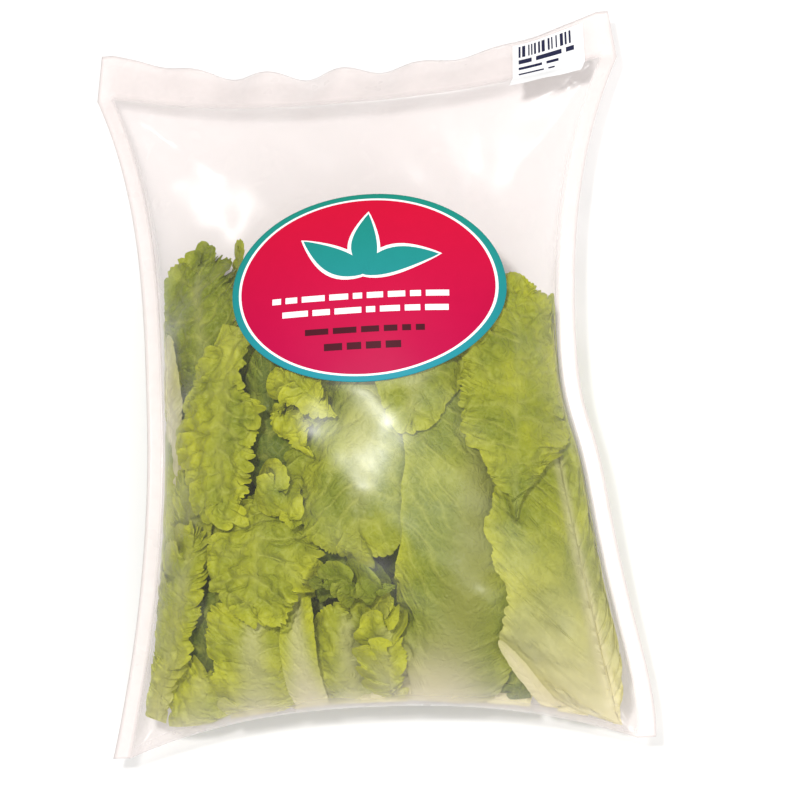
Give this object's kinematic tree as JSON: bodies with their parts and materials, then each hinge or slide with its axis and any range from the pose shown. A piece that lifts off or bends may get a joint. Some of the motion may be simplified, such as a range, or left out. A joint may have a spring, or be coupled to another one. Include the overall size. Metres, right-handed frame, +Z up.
{
  "type": "bag of salad leaves",
  "caption": "Sealed clear film bag of curly salad leaves, lying on its back, with an oval label, a price label and a flat sealed header.",
  "frame": {"origin": "middle of the bottom of the bounding box, at the floor the bag lies on", "axes": "+X across the bag, +Y from the folded bottom to the sealed header, +Z up through the shown side"},
  "size_m": [0.2704, 0.362, 0.106],
  "materials": {
    "film": "clear glossy film with a slight milky haze",
    "oval_print": "semi-gloss printed label, crimson with a teal rim",
    "price_paper": "matt white label paper"
  },
  "bodies": {
    "root": {"bag": "film", "oval_label": "oval_print", "price_label": "price_paper"}
  },
  "joints": []
}
